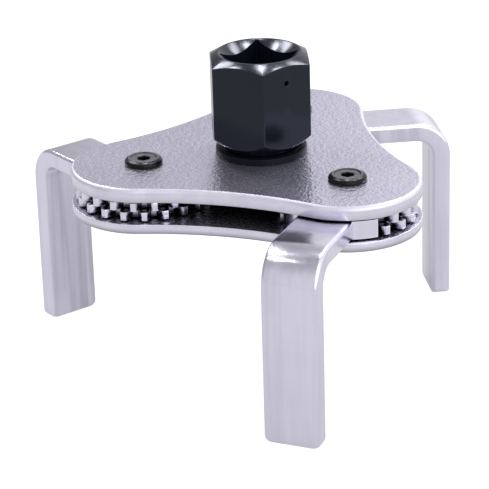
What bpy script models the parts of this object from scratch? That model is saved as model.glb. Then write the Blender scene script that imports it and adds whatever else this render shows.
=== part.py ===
# Three-jaw oil filter wrench, two-way gear type.
#
# Frame: +Z is the drive axis and points to the square socket, the origin is the centre of
# the spindle's lower end face, and +X points to the first of the three leg pivots.
# Dimensions are millimetres and angles degrees; MM turns lengths into metres.

import math

import bmesh
import bpy
from mathutils import Vector

MM = 0.001
FIT_GAP = 0.3               # clearance between fitted parts, radial or axial
CHAMFER_30 = math.tan(math.radians(30.0))
SMOOTH_DEG = 35.0           # edges steeper than this stay sharp
CRISP_DEG = 28.0            # the same, for toothed and hexagonal pieces

# ---- gear train and layout ---------------------------------------------------------------
LEG_COUNT = 3
GEAR_MODULE = 1.45          # tooth module of the whole train
PLANET_TEETH = 20           # full-circle count of a leg's gear
SUN_TEETH = 18
PITCH_PLANET = GEAR_MODULE * PLANET_TEETH / 2
PITCH_SUN = GEAR_MODULE * SUN_TEETH / 2
PIVOT_R = PITCH_PLANET + PITCH_SUN      # pivot circle radius
PIVOT_AZIMUTHS = [360.0 * k / LEG_COUNT for k in range(LEG_COUNT)]
ARM_REST_DEG = -65.7        # leg arm from the outward radius, at rest

PRESSURE_DEG = 20.0
ADDENDUM = 0.80 * GEAR_MODULE           # stub teeth
DEDENDUM = 1.00 * GEAR_MODULE
BACKLASH = 0.24
BLANK_HALF_DEG = 45.0       # toothless part of a leg's rim on each side of its arm
BLANK_TOOTH_DEG = 5.5       # least angle from the blank's end to a tooth's centre
BLANK_END_DEG = 0.6         # slope of the blank's ends down to the root
BLANK_STEPS = 10
ROW_LO = (6.10, 8.15)       # lower tooth row, z from and to
ROW_UP = (8.35, 10.40)      # upper tooth row
SUN_ROW_GAP = 0.15          # extra gap under the upper sun gear
SUN_BORE_STEPS = 10

# ---- hub ---------------------------------------------------------------------------------
HEX_AF = 22.0               # across flats
HEX_Z = (16.80, 37.90)
HEX_CORNER_DEG = -40.0      # azimuth of one hexagon corner
HEX_TOP_R = 9.6             # start of the 30 degree upper chamfer
HEX_BOT_R = 10.0            # start of the 45 degree lower chamfer
HEX_CONE_OVER = 0.4         # chamfer cones reach this far past the corners
DRIVE_AF = 12.9             # half-inch square drive with its clearance
DRIVE_DEPTH = 16.5
DRIVE_SINK_R = 9.15         # mouth of the countersink
DRIVE_SINK_BOTTOM_R = DRIVE_AF / 2 - 0.6
DRIVE_SINK_TAN = math.tan(math.radians(35.0))
NECK_R = 8.4
NECK_Z = 15.90
NECK_OVERLAP = 1.5          # neck's reach into the hexagon
JOURNAL_R = 7.8             # in the top plate
SPLINE_R = 7.6              # under the sun gears, with two flats
SPLINE_FLAT = 6.3           # axis to each flat
SPLINE_Z = (5.90, 10.70)
TAIL_R = 6.0                # in the bottom plate
TAIL_CHAMFER = 0.6
GROOVE_R = 5.0
GROOVE_Z = (0.80, 2.30)
DETENT_R = 0.7
DETENT_DROP = 4.8           # below the hexagon's top
DETENT_REACH = 14.0         # cutter length, from the axis

# ---- pivot hardware, lower and upper z in each pair --------------------------------------
SHANK_R = 2.5
SHANK_END_Z = 0.30
SHANK_CHAMFER = 0.4
PIVOT_HOLE_R = SHANK_R + FIT_GAP        # in plates, sleeves and nuts
HEAD_R = 4.35
HEAD_PROFILE = [            # inset from HEAD_R, height above the head's underside
    (0.0, 0.0), (0.0, 0.5), (0.25, 0.9), (0.85, 1.15),
]
HEAD_SOCKET_AF = 3.0
HEAD_SOCKET_DEPTH = 1.3
SLEEVE_R = (PIVOT_HOLE_R, 4.00)         # inner and outer
NUT_AF = 8.0
NUT_FACE_R = 3.9            # start of the 30 degree lower chamfer
NUT_CONE_OVER = 0.2

# ---- plates ------------------------------------------------------------------------------
LOBE_R = 16.7
WAIST_R = 27.4              # drive axis to the nearest point of a waist
TOP_Z = (10.85, 14.10)
BOT_Z = (3.30, 5.75)
TOP_BORE_R = JOURNAL_R + FIT_GAP
BOT_BORE_R = TAIL_R + FIT_GAP
LOBE_STEPS = 18
WAIST_STEPS = 8
TOP_SECTIONS = [            # inset of the outline, z
    (0.25, TOP_Z[0]),
    (0.0, TOP_Z[0] + 0.25),
    (0.0, TOP_Z[1] - 1.0),
    (0.14, TOP_Z[1] - 0.5),
    (0.48, TOP_Z[1] - 0.14),
    (1.0, TOP_Z[1]),
]
BOT_SECTIONS = [            # inset of the outline, z
    (0.7, BOT_Z[0]),
    (0.2, BOT_Z[0] + 0.22),
    (0.0, BOT_Z[0] + 0.7),
    (0.0, BOT_Z[1] - 0.2),
    (0.2, BOT_Z[1]),
]
HEAD_Z = TOP_Z[1] + FIT_GAP             # underside of the screw heads
NUT_Z = (0.60, BOT_Z[0] - FIT_GAP)

# ---- washers and retaining ring, radii inner and outer -----------------------------------
WASHER_R = (8.75, 10.45)
WASHER_Z = (TOP_Z[1] + FIT_GAP, 15.60)
WASHER_CHAMFER = 0.3
THRUST_R = (BOT_BORE_R, 9.00)
THRUST_Z = (2.32, BOT_Z[0] - FIT_GAP)
RING_R = (5.30, 7.40)
RING_Z = (1.10, 2.00)
RING_GAP_HALF_DEG = 14.0
RING_STEPS = 18
EAR_CENTRE = (7.7, 25.0)    # radius, and azimuth on each side of the gap
EAR_R = 1.45
EAR_HOLE_R = 0.65
EAR_INSET = 0.05            # ears are thinner than the ring by this on each face

# ---- legs --------------------------------------------------------------------------------
LEG_W = 13.0
LEG_T = 4.5
LEG_OUT = 37.0              # pivot axis to the leg's outer face
BEND_OUT_R = 8.5
BEND_STEPS = 9
ARM_START_X = 8.0
ARM_Z = (6.05, 6.05 + LEG_T)
FOOT_Z = -34.1
FOOT_CORNER_R = 1.3
FOOT_STEPS = 3
FOOT_THINNING = 0.5         # thickness lost per unit of inset at the foot
LEG_BORE_R = SLEEVE_R[1] + FIT_GAP
EDGE_R = 0.9                # rounded edges of the flat bar
EDGE_STEPS = 3
CORE_R = 12.2               # solid web that joins a leg's two rows
CORE_INSET_Z = 0.6          # from the outer faces of the rows
RIM_R = PITCH_PLANET + ADDENDUM - 0.06
RIM_HALF_DEG = BLANK_HALF_DEG - 0.8
RIM_APEX_X = 1.0
RIM_INSET_Z = 0.15
RIM_STEPS = 9
SLEEVE_Z = ARM_Z


# ==========================================================================================
# outlines
# ==========================================================================================
def polar(radius, degrees):
    angle = math.radians(degrees)
    return (radius * math.cos(angle), radius * math.sin(angle))


def arc(radius, start, end, steps, centre=(0.0, 0.0)):
    """Points from start to end, both included."""
    points = []
    for i in range(steps + 1):
        x, y = polar(radius, start + (end - start) * i / steps)
        points.append((centre[0] + x, centre[1] + y))
    return points


def circle(radius, segments, phase=0.0):
    return [polar(radius, phase + 360.0 * i / segments) for i in range(segments)]


def hexagon(across_flats, phase):
    return circle(across_flats / math.sqrt(3), 6, phase)


def gear_outline(teeth, phase, blank=False):
    """Stub involute gear, counter-clockwise; phase is a tooth's azimuth.

    With blank the rim is plain at the tip radius within BLANK_HALF_DEG of azimuth 0.
    """
    pitch_r = GEAR_MODULE * teeth / 2
    base_r = pitch_r * math.cos(math.radians(PRESSURE_DEG))
    tip_r = pitch_r + ADDENDUM
    root_r = pitch_r - DEDENDUM
    half_tooth = math.pi / (2 * teeth) - BACKLASH / (4 * pitch_r)

    def involute(angle):
        return math.tan(angle) - angle

    def flank(radius):
        """Half the tooth's angle at a radius; radial below the base circle."""
        lean = involute(math.acos(base_r / max(radius, base_r)))
        return math.degrees(half_tooth + involute(math.radians(PRESSURE_DEG)) - lean)

    centres = [phase + 360.0 / teeth * k for k in range(teeth)]
    if blank:
        first = BLANK_HALF_DEG + BLANK_TOOTH_DEG
        centres = sorted(c % 360.0 for c in centres if first <= c % 360.0 <= 360.0 - first)

    radii = [root_r, base_r, pitch_r + 0.25 * ADDENDUM, tip_r]
    points = []
    for centre in centres:
        points += [polar(radius, centre - flank(radius)) for radius in radii]
        points += [polar(radius, centre + flank(radius)) for radius in reversed(radii)]
    if blank:
        points.append(polar(root_r, -BLANK_HALF_DEG - BLANK_END_DEG))
        points += arc(tip_r, -BLANK_HALF_DEG, BLANK_HALF_DEG, BLANK_STEPS)
        points.append(polar(root_r, BLANK_HALF_DEG + BLANK_END_DEG))
    return points


def plate_outline(inset):
    """Three round lobes joined by hollow waists, moved inwards by inset."""
    # A waist arc touches both neighbouring lobes, which fixes its centre's distance.
    waist_centre_r = (
        (PIVOT_R ** 2 - (LOBE_R - WAIST_R) ** 2) / (2 * (LOBE_R - WAIST_R) + PIVOT_R)
    )
    hollow_r = waist_centre_r - WAIST_R
    x, y = polar(waist_centre_r, 60.0)
    lobe_half = math.degrees(math.atan2(y, x - PIVOT_R))
    waist_half = lobe_half - 60.0
    points = []
    for azimuth in PIVOT_AZIMUTHS:
        points += arc(LOBE_R - inset, azimuth - lobe_half, azimuth + lobe_half,
                      LOBE_STEPS, polar(PIVOT_R, azimuth))
        inward = azimuth + 240.0
        waist = arc(hollow_r + inset, inward + waist_half, inward - waist_half,
                    WAIST_STEPS, polar(waist_centre_r, azimuth + 60.0))
        points += waist[1:-1]           # its end points belong to the lobes
    return points


def bar_section():
    """Section of the flat bar, centred; first coordinate across, second through."""
    points = []
    for side_x, side_y, start in ((1, 1, 0), (-1, 1, 90), (-1, -1, 180), (1, -1, 270)):
        centre = (side_x * (LEG_W / 2 - EDGE_R), side_y * (LEG_T / 2 - EDGE_R))
        points += arc(EDGE_R, start, start + 90.0, EDGE_STEPS, centre)
    return points


# ==========================================================================================
# solids
# ==========================================================================================
def skin(name, rings, closed=False):
    """Joins equal-count rings of (x, y, z); caps the ends, or joins last to first."""
    bm = bmesh.new()
    rows = [[bm.verts.new(Vector(point) * MM) for point in ring] for ring in rings]
    count = len(rows[0])
    following = rows[1:] + rows[:1] if closed else rows[1:]
    for lower, upper in zip(rows, following):
        for i in range(count):
            j = (i + 1) % count
            bm.faces.new((lower[i], lower[j], upper[j], upper[i]))
    if not closed:
        bm.faces.new(rows[0][::-1])
        bm.faces.new(rows[-1])
    bmesh.ops.recalc_face_normals(bm, faces=bm.faces)
    mesh = bpy.data.meshes.new(name)
    bm.to_mesh(mesh)
    bm.free()
    obj = bpy.data.objects.new(name, mesh)
    bpy.context.collection.objects.link(obj)
    return obj


def at_height(outline, z):
    return [(x, y, z) for x, y in outline]


def prism(name, outline, z_from, z_to):
    return skin(name, [at_height(outline, z) for z in (z_from, z_to)])


def cylinder(name, radius, z_from, z_to, segments):
    return prism(name, circle(radius, segments), z_from, z_to)


def turned(name, profile, segments, phase=0.0, closed=False):
    """Solid of revolution from (radius, z) points.

    The profile is the outer side from bottom to top, or a ring's whole section if closed.
    """
    rings = [at_height(circle(radius, segments, phase), z) for radius, z in profile]
    return skin(name, rings, closed)


def plain_ring(name, radii, heights, segments):
    inner, outer = radii
    bottom, top = heights
    section = [(inner, bottom), (outer, bottom), (outer, top), (inner, top)]
    return turned(name, section, segments, closed=True)


def move_to(obj, x, y, z=0.0):
    obj.location = (x * MM, y * MM, z * MM)


def boolean(obj, operation, tools):
    """Applies a boolean with each tool in turn, and removes the tools."""
    for tool in tools:
        modifier = obj.modifiers.new(tool.name, "BOOLEAN")
        modifier.operation = operation
        modifier.solver = "EXACT"
        modifier.object = tool
    bpy.context.view_layer.update()
    depsgraph = bpy.context.evaluated_depsgraph_get()
    mesh = bpy.data.meshes.new_from_object(obj.evaluated_get(depsgraph))
    mesh.name = obj.name
    obj.modifiers.clear()
    obj.data = mesh
    for tool in tools:
        bpy.data.objects.remove(tool, do_unlink=True)
    return obj


def cut(obj, *tools):
    return boolean(obj, "DIFFERENCE", tools)


def joined(obj, *tools):
    return boolean(obj, "UNION", tools)


def common(obj, *tools):
    return boolean(obj, "INTERSECT", tools)


def material(name, colour, metallic, roughness):
    mat = bpy.data.materials.new(name)
    mat.use_nodes = True
    bsdf = mat.node_tree.nodes["Principled BSDF"]
    bsdf.inputs["Base Color"].default_value = (*colour, 1.0)
    bsdf.inputs["Metallic"].default_value = metallic
    bsdf.inputs["Roughness"].default_value = roughness
    mat.diffuse_color = (*colour, 1.0)
    return mat


def finish(obj, mat, sharp_deg=SMOOTH_DEG):
    obj.data.materials.clear()
    obj.data.materials.append(mat)
    obj.data.shade_smooth()
    obj.data.set_sharp_from_angle(angle=math.radians(sharp_deg))
    return obj


# ==========================================================================================
# casing and legs
# ==========================================================================================
def make_plate(name, sections, bore_r, mat):
    plate = skin(name, [at_height(plate_outline(inset), z) for inset, z in sections])
    z_from = sections[0][1] - 2
    z_to = sections[-1][1] + 2
    tools = [cylinder("cut_bore", bore_r, z_from, z_to, segments=32)]
    for azimuth in PIVOT_AZIMUTHS:
        hole = cylinder("cut_pivot", PIVOT_HOLE_R, z_from, z_to, segments=16)
        move_to(hole, *polar(PIVOT_R, azimuth))
        tools.append(hole)
    return finish(cut(plate, *tools), mat)


def make_leg_bar():
    """Flat bar: out along +X, bent down through a right angle, ending in the foot."""
    mid_z = (ARM_Z[0] + ARM_Z[1]) / 2
    bend_mid_r = BEND_OUT_R - LEG_T / 2
    bend_x = LEG_OUT - BEND_OUT_R
    bend_z = ARM_Z[1] - BEND_OUT_R

    # stations: x, z, angle of the outer face's normal from +X, inset of the edges
    stations = [(ARM_START_X, mid_z, 90.0, 0.0), (bend_x, mid_z, 90.0, 0.0)]
    for i in range(1, BEND_STEPS + 1):
        angle = 90.0 - 90.0 * i / BEND_STEPS
        x, z = polar(bend_mid_r, angle)
        stations.append((bend_x + x, bend_z + z, angle, 0.0))
    for x, z in arc(FOOT_CORNER_R, 0.0, 90.0, FOOT_STEPS):
        stations.append(
            (bend_x + bend_mid_r, FOOT_Z + FOOT_CORNER_R - z, 0.0, FOOT_CORNER_R - x)
        )

    rings = []
    for x, z, angle, inset in stations:
        normal_x, normal_z = polar(1.0, angle)
        width_scale = (LEG_W - 2 * inset) / LEG_W
        depth_scale = (LEG_T - FOOT_THINNING * inset) / LEG_T
        rings.append([
            (x + normal_x * through * depth_scale, across * width_scale,
             z + normal_z * through * depth_scale)
            for across, through in bar_section()
        ])
    return skin("leg_arm", rings)


def make_leg(name, mat):
    """A leg about its own pivot: two staggered tooth rows, the arm along +X, the jaw bar."""
    half_pitch = 180.0 / PLANET_TEETH
    leg = prism(name, gear_outline(PLANET_TEETH, 180.0, blank=True), *ROW_LO)
    upper_row = prism(
        "leg_upper_row", gear_outline(PLANET_TEETH, 180.0 + half_pitch, blank=True), *ROW_UP
    )
    core = cylinder(
        "leg_core", CORE_R, ROW_LO[0] + CORE_INSET_Z, ROW_UP[1] - CORE_INSET_Z, segments=28
    )
    # plain rim beside the arm, in one piece over both rows
    sector = [(RIM_APEX_X, 0.0)] + arc(RIM_R, -RIM_HALF_DEG, RIM_HALF_DEG, RIM_STEPS)
    rim = prism("leg_rim", sector, ROW_LO[0] + RIM_INSET_Z, ROW_UP[1] - RIM_INSET_Z)
    for part in (core, rim, upper_row, make_leg_bar()):
        joined(leg, part)
    cut(leg, cylinder("leg_bore", LEG_BORE_R, 0.0, 15.0, segments=20))
    return finish(leg, mat, CRISP_DEG)


# ==========================================================================================
# drive
# ==========================================================================================
def make_hex_head(name):
    outer = HEX_AF / math.sqrt(3) + HEX_CONE_OVER
    bottom, top = HEX_Z
    head = prism(name, hexagon(HEX_AF, HEX_CORNER_DEG), bottom, top)
    chamfers = [
        (HEX_BOT_R, bottom),
        (outer, bottom + outer - HEX_BOT_R),
        (outer, top - (outer - HEX_TOP_R) * CHAMFER_30),
        (HEX_TOP_R, top),
    ]
    return common(head, turned("hub_chamfers", chamfers, 36, HEX_CORNER_DEG))


def make_stem():
    """Neck and spindle under the hexagon."""
    profile = [
        (TAIL_R - TAIL_CHAMFER, 0.0), (TAIL_R, TAIL_CHAMFER),
        (TAIL_R, GROOVE_Z[0]), (GROOVE_R, GROOVE_Z[0]),
        (GROOVE_R, GROOVE_Z[1]), (TAIL_R, GROOVE_Z[1]),
        (TAIL_R, SPLINE_Z[0]), (SPLINE_R, SPLINE_Z[0]),
        (SPLINE_R, SPLINE_Z[1]), (JOURNAL_R, SPLINE_Z[1]),
        (JOURNAL_R, NECK_Z), (NECK_R, NECK_Z),
        (NECK_R, HEX_Z[0] + NECK_OVERLAP),
    ]
    return turned("hub_stem", profile, 28, HEX_CORNER_DEG)


def spline_flat_cutters():
    reach = 12.0            # past the spindle
    inset_z = 0.05          # kept clear of the shoulders
    outline = [(SPLINE_FLAT, -reach), (reach, -reach), (reach, reach), (SPLINE_FLAT, reach)]
    cutters = []
    for turn in (0.0, math.pi):
        flat = prism("cut_spline", outline, SPLINE_Z[0] + inset_z, SPLINE_Z[1] - inset_z)
        flat.rotation_euler = (0, 0, turn)
        cutters.append(flat)
    return cutters


def drive_cutters():
    """Square drive hole, its countersink, and a round hole out through a hexagon flat."""
    top = HEX_Z[1]
    over = 2.0              # cutters' reach past the surface
    square = prism(
        "cut_drive", circle(DRIVE_AF / math.sqrt(2), 4, HEX_CORNER_DEG),
        top - DRIVE_DEPTH, top + over,
    )
    sink_profile = [
        (DRIVE_SINK_BOTTOM_R, top - (DRIVE_SINK_R - DRIVE_SINK_BOTTOM_R) * DRIVE_SINK_TAN),
        (DRIVE_SINK_R, top),
        (DRIVE_SINK_R + over, top + over * DRIVE_SINK_TAN),
    ]
    sink = turned("cut_sink", sink_profile, 36, HEX_CORNER_DEG)
    detent = cylinder("cut_detent", DETENT_R, 0.0, DETENT_REACH, segments=14)
    detent.rotation_euler = (0, math.pi / 2, math.radians(HEX_CORNER_DEG + 30.0))
    move_to(detent, 0.0, 0.0, top - DETENT_DROP)
    return [square, sink, detent]


def make_hub(mat):
    hub = joined(make_hex_head("drive_hub"), make_stem())
    cut(hub, *spline_flat_cutters(), *drive_cutters())
    return finish(hub, mat, CRISP_DEG)


def sun_phase():
    """Azimuth of a lower-row sun tooth that meshes with leg 1 standing at rest."""
    planet_pitch = 360.0 / PLANET_TEETH
    # offset of a leg tooth from the line between the pivot and the drive axis
    offset = (ARM_REST_DEG + 180.0) % planet_pitch - 180.0 % planet_pitch
    return -offset * PLANET_TEETH / SUN_TEETH + 180.0 / SUN_TEETH


def make_sun(name, z_from, z_to, phase, mat):
    gear = prism(name, gear_outline(SUN_TEETH, phase), z_from, z_to)
    # double-D bore that carries the spindle's two flats
    bore_r = SPLINE_R + FIT_GAP
    edge = math.degrees(math.acos((SPLINE_FLAT + FIT_GAP) / bore_r))
    outline = []
    for side in (0.0, 180.0):
        outline += arc(bore_r, side + edge, side + 180.0 - edge, SUN_BORE_STEPS)
    bore = prism("cut_double_d", outline, z_from - 2, z_to + 2)
    return finish(cut(gear, bore), mat, CRISP_DEG)


def make_hub_washer(mat):
    inner, outer = WASHER_R
    bottom, top = WASHER_Z
    section = [
        (inner, bottom), (outer, bottom), (outer, top - WASHER_CHAMFER),
        (outer - WASHER_CHAMFER, top), (inner, top),
    ]
    return finish(turned("hub_washer", section, 32, closed=True), mat)


def make_thrust_washer(mat):
    return finish(plain_ring("thrust_washer", THRUST_R, THRUST_Z, segments=24), mat)


def make_retaining_ring(mat):
    """Open spring ring with two pierced ears, its gap towards +X."""
    inner, outer = RING_R
    bottom, top = RING_Z
    start = RING_GAP_HALF_DEG
    end = 360.0 - RING_GAP_HALF_DEG
    outline = arc(outer, start, end, RING_STEPS) + arc(inner, end, start, RING_STEPS)
    ring = prism("retaining_ring", outline, bottom, top)
    ear_radius, ear_azimuth = EAR_CENTRE
    ears = []
    holes = []
    for side in (1, -1):
        x, y = polar(ear_radius, side * ear_azimuth)
        ear = cylinder("ear", EAR_R, bottom + EAR_INSET, top - EAR_INSET, segments=12)
        hole = cylinder("cut_ear", EAR_HOLE_R, bottom - 1, top + 1, segments=8)
        move_to(ear, x, y)
        move_to(hole, x, y)
        ears.append(ear)
        holes.append(hole)
    joined(ring, *ears)
    return finish(cut(ring, *holes), mat)


# ==========================================================================================
# pivot hardware
# ==========================================================================================
def make_screw(name, mat):
    profile = [
        (SHANK_R - SHANK_CHAMFER, SHANK_END_Z),
        (SHANK_R, SHANK_END_Z + SHANK_CHAMFER),
        (SHANK_R, HEAD_Z),
    ]
    profile += [(HEAD_R - inset, HEAD_Z + height) for inset, height in HEAD_PROFILE]
    screw = turned(name, profile, 18)
    top = profile[-1][1]
    socket = prism(
        "cut_socket", hexagon(HEAD_SOCKET_AF, 15.0), top - HEAD_SOCKET_DEPTH, top + 1.0
    )
    return finish(cut(screw, socket), mat)


def make_sleeve(name, mat):
    return finish(plain_ring(name, SLEEVE_R, SLEEVE_Z, segments=16), mat)


def make_nut(name, mat):
    bottom, top = NUT_Z
    nut = prism(name, hexagon(NUT_AF, 0.0), bottom, top)
    outer = NUT_AF / math.sqrt(3) + NUT_CONE_OVER
    chamfer = [
        (NUT_FACE_R, bottom),
        (outer, bottom + (outer - NUT_FACE_R) * CHAMFER_30),
        (outer, top + 1.0),
    ]
    common(nut, turned("nut_cone", chamfer, 24))
    bore = cylinder("cut_thread", PIVOT_HOLE_R, bottom - 1, top + 1, segments=16)
    return finish(cut(nut, bore), mat, CRISP_DEG)


# ==========================================================================================
# build
# ==========================================================================================
def repeated(first):
    """The object numbered 1 and copies of it, on the same mesh, for the other pivots."""
    stem = first.name.removesuffix("_1")
    objects = [first]
    for number in range(2, LEG_COUNT + 1):
        obj = bpy.data.objects.new(f"{stem}_{number}", first.data)
        bpy.context.collection.objects.link(obj)
        objects.append(obj)
    return objects


def place_at_pivot(obj, azimuth):
    move_to(obj, *polar(PIVOT_R, azimuth))
    obj.rotation_euler = (0, 0, math.radians(azimuth))


def build_casing():
    """Two lobed plates held apart by the pivots."""
    steel = material("plate_steel", colour=(0.56, 0.55, 0.60), metallic=1.0, roughness=0.38)
    make_plate("top_plate", TOP_SECTIONS, TOP_BORE_R, steel)
    make_plate("bottom_plate", BOT_SECTIONS, BOT_BORE_R, steel)


def build_legs():
    """Three legs, each turned to rest under an empty at its pivot."""
    chrome = material("leg_chrome", colour=(0.74, 0.73, 0.78), metallic=1.0, roughness=0.22)
    legs = repeated(make_leg("leg_1", chrome))
    for number, (leg, azimuth) in enumerate(zip(legs, PIVOT_AZIMUTHS), start=1):
        pivot = bpy.data.objects.new(f"leg_pivot_{number}", None)
        bpy.context.collection.objects.link(pivot)
        place_at_pivot(pivot, azimuth)
        leg.parent = pivot
        leg.rotation_euler = (0, 0, math.radians(ARM_REST_DEG))


def build_drive():
    """Hub with its keyed sun gears, washers and ring."""
    black = material("hub_black", colour=(0.018, 0.019, 0.025), metallic=0.7, roughness=0.34)
    washer_black = material(
        "washer_black", colour=(0.012, 0.012, 0.015), metallic=0.5, roughness=0.42
    )
    spring = material("spring_steel", colour=(0.16, 0.16, 0.17), metallic=0.9, roughness=0.40)
    make_hub(black)
    phase = sun_phase()
    half_pitch = 180.0 / SUN_TEETH
    make_sun("sun_gear_lower", *ROW_LO, phase, black)
    make_sun("sun_gear_upper", ROW_UP[0] + SUN_ROW_GAP, ROW_UP[1], phase + half_pitch, black)
    make_hub_washer(washer_black)
    make_thrust_washer(spring)
    make_retaining_ring(spring)


def build_pivots():
    """Screw, spacer sleeve and nut at each lobe."""
    black = material("screw_black", colour=(0.035, 0.035, 0.04), metallic=0.8, roughness=0.36)
    steel = material("sleeve_steel", colour=(0.50, 0.50, 0.51), metallic=1.0, roughness=0.35)
    zinc = material("nut_zinc", colour=(0.60, 0.61, 0.62), metallic=1.0, roughness=0.33)
    for first in (
        make_screw("pivot_screw_1", black),
        make_sleeve("pivot_sleeve_1", steel),
        make_nut("pivot_nut_1", zinc),
    ):
        for obj, azimuth in zip(repeated(first), PIVOT_AZIMUTHS):
            place_at_pivot(obj, azimuth)


def build():
    for obj in list(bpy.data.objects):
        bpy.data.objects.remove(obj, do_unlink=True)
    build_casing()
    build_legs()
    build_drive()
    build_pivots()
    bpy.context.view_layer.update()


build()
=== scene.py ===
"""Looks of a three-jaw oil filter wrench: fine meshes and materials around the frame.

The drive axis is Z. The three pivots stand 120 degrees apart around it, the first on +X. The
hex head of the drive hub points up, the legs hang below the plates and stand on the floor.
Shapes are given in millimetres and degrees; the camera and the lights in metres.
"""

import math

import bmesh
import bpy
from mathutils import Matrix, Vector
from mathutils.geometry import tessellate_polygon

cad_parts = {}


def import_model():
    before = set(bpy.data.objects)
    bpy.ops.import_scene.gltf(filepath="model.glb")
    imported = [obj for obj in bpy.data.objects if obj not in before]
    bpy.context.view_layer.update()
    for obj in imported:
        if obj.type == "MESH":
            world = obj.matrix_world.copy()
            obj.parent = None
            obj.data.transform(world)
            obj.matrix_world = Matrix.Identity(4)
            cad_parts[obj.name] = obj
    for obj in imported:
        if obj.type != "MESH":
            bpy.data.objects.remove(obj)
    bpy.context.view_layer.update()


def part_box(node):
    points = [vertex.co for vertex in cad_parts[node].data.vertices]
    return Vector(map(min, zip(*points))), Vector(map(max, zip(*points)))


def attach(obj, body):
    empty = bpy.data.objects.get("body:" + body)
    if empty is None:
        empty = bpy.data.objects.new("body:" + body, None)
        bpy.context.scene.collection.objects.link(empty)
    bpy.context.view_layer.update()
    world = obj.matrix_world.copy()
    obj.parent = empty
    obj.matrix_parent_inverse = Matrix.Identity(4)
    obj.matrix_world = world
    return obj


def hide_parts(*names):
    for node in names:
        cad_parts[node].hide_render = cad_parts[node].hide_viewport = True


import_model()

MM = 0.001


# ==========================================================================================
# places and sizes shared by several pieces
# ==========================================================================================
def centre(node):
    low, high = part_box(node)
    return (low + high) / 2


def z_range(node):
    low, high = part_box(node)
    return low.z / MM, high.z / MM


PIVOTS = [centre("pivot_sleeve_%d" % k) for k in (1, 2, 3)]
PIVOT_R = Vector((PIVOTS[0].x, PIVOTS[0].y, 0)).length / MM
TOP_Z = z_range("top_plate")
BOTTOM_Z = z_range("bottom_plate")
FOOT_Z, ARM_TOP_Z = z_range("leg_1")
SEAT_GAP = 0.03             # between a plate and the hardware seated on it
PIVOT_HOLE_R = 2.8          # in the plates and through the sleeves

ARM_REST_DEG = -65.7        # a leg's direction, from the line that leaves the axis at its pivot
HUB_DEG = -40.0             # azimuth of a corner of the hex and of the square

# two rows of gears, half a tooth apart: (lower z, upper z)
LOWER_ROW = (6.10, 8.15)
UPPER_ROW = (8.35, 10.40)
PLANET_TEETH, SUN_TEETH = 20, 18
GEAR_MODULE = 1.45
ADDENDUM = 0.8              # in modules
BACKLASH = 0.24
PRESSURE_ANGLE = math.radians(20)
GEAR_BEVEL = 0.14


# ==========================================================================================
# flat outlines
# ==========================================================================================
def polar(radius, degrees):
    angle = math.radians(degrees)
    return (radius * math.cos(angle), radius * math.sin(angle))


def arc(radius, start, sweep, steps, middle=(0.0, 0.0)):
    points = (polar(radius, start + sweep * i / steps) for i in range(steps + 1))
    return [(middle[0] + x, middle[1] + y) for x, y in points]


def circle(radius, count, middle=(0.0, 0.0)):
    return arc(radius, 0.0, 360.0, count, middle)[:-1]


def rounded_path(corners, steps, closed=False):
    """Rounds a 2-D path whose corners are (x, y, rounding); an open path keeps its ends."""
    last = len(corners) - 1
    path = []
    for i, (x, y, rounding) in enumerate(corners):
        if (not closed and i in (0, last)) or rounding <= 0:
            path.append((x, y))
            continue
        corner = Vector((x, y))
        back = Vector(corners[i - 1][:2]) - corner
        ahead = Vector(corners[(i + 1) % len(corners)][:2]) - corner
        back_length, ahead_length = back.length, ahead.length
        back.normalize()
        ahead.normalize()
        half = math.acos(max(-1.0, min(1.0, back.dot(ahead)))) / 2
        cut = min(rounding / max(math.tan(half), 1e-6), 0.48 * back_length, 0.48 * ahead_length)
        start, end = corner + back * cut, corner + ahead * cut
        for k in range(steps + 1):
            f = k / steps
            point = start * (1 - f) ** 2 + corner * 2 * f * (1 - f) + end * f ** 2
            path.append((point.x, point.y))
    return path


def polygon_radius(azimuth, sides, apothem, corner_r, phase):
    """Distance from the axis to a rounded regular polygon; phase is a corner's azimuth."""
    step = 360.0 / sides
    half = math.radians(step / 2)
    from_corner = math.radians((azimuth - phase + step / 2) % step - step / 2)
    from_flat = half - abs(from_corner)
    flat_end = math.atan((apothem - corner_r) * math.tan(half) / apothem)
    if from_flat <= flat_end:
        return apothem / math.cos(from_flat)
    reach = (apothem - corner_r) / math.cos(half)
    off_line = reach * math.sin(from_corner)
    return reach * math.cos(from_corner) + math.sqrt(max(corner_r ** 2 - off_line ** 2, 0.0))


def azimuths(step, *polygons):
    """Even azimuths, with extra ones around polygon corners: (sides, phase, spread, count)."""
    found = [step * i for i in range(round(360 / step))]
    for sides, phase, spread, count in polygons:
        found += [
            phase + 360.0 / sides * k + spread * (2.0 * i / (count - 1) - 1.0)
            for k in range(sides) for i in range(count)
        ]
    kept = []
    for azimuth in sorted(set(round(a % 360.0, 3) for a in found)):
        if not kept or azimuth - kept[-1] > 0.12:
            kept.append(azimuth)
    return kept


def tip_radius(teeth):
    return GEAR_MODULE * teeth / 2 + ADDENDUM * GEAR_MODULE


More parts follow.
